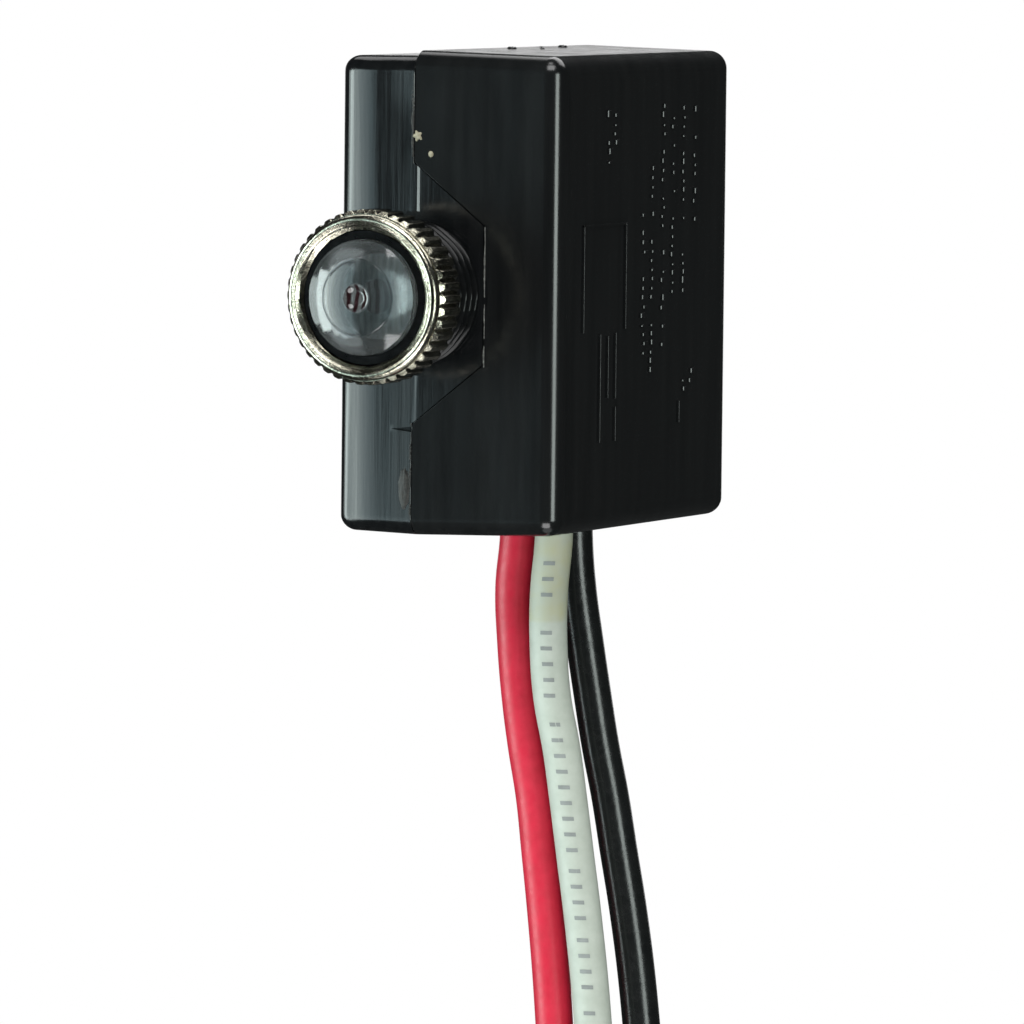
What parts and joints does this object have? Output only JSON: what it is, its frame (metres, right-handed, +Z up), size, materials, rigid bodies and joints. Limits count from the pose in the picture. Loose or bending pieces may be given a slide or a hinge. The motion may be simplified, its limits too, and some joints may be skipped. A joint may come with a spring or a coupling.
{
  "type": "photocell switch",
  "caption": "Wired photocell switch: split black housing, threaded eye stem with a knurled ring nut, and free leads below.",
  "frame": {"origin": "on the stem's axis, in the plane of the front seat that a panel bears on", "axes": "-Y along the stem towards the eye, +X from the parting plane towards the deep main shell, +Z up, the leads leave towards -Z"},
  "size_m": [0.0203, 0.0419, 0.1882],
  "materials": {
    "shell_plastic": "moulded black thermoplastic, half gloss with fine flow marks",
    "nickel_plate": "bright nickel plate, turned and knurled, slightly worn",
    "clear_lens": "clear moulded plastic, polished",
    "cell_ceramic": "ceramic disc under a clear coat",
    "tinned_wire": "tinned metal, satin",
    "board_laminate": "paper laminate board",
    "epoxy_black": "moulded epoxy",
    "bare_aluminium": "plain aluminium",
    "capacitor_case": "potted plastic box",
    "resistor_lacquer": "tan lacquer",
    "diode_glass": "small glass body",
    "varistor_lacquer": "dipped lacquer",
    "solder": "solder, dull",
    "copper_wire": "bare copper strands",
    "insulation_red": "extruded vinyl, red",
    "insulation_white": "extruded vinyl, white",
    "insulation_black": "extruded vinyl, black"
  },
  "bodies": {
    "housing": {"case_shell": "shell_plastic", "cover_shell": "shell_plastic", "lens": "clear_lens", "photocell": "cell_ceramic", "photocell_leads": "tinned_wire", "circuit_board": "board_laminate", "triac_body": "epoxy_black", "triac_lead_frame": "tinned_wire", "heat_sink": "bare_aluminium", "triac_rivet": "bare_aluminium", "timing_capacitor": "capacitor_case", "dropper_resistor": "resistor_lacquer", "gate_resistor": "resistor_lacquer", "trigger_diode": "diode_glass", "surge_varistor": "varistor_lacquer", "solder_joints": "solder", "core_tails": "copper_wire", "lead_red": "insulation_red", "lead_white": "insulation_white", "lead_black": "insulation_black", "stripped_end_red": "copper_wire", "stripped_end_white": "copper_wire", "stripped_end_black": "copper_wire"},
    "ring": {"ring_nut": "nickel_plate"}
  },
  "joints": [
    {"name": "ring_slide", "type": "slide", "parent": "housing", "child": "ring", "axis": [0, -1, 0], "range_m": [-0.0047, 0.0188]}
  ]
}
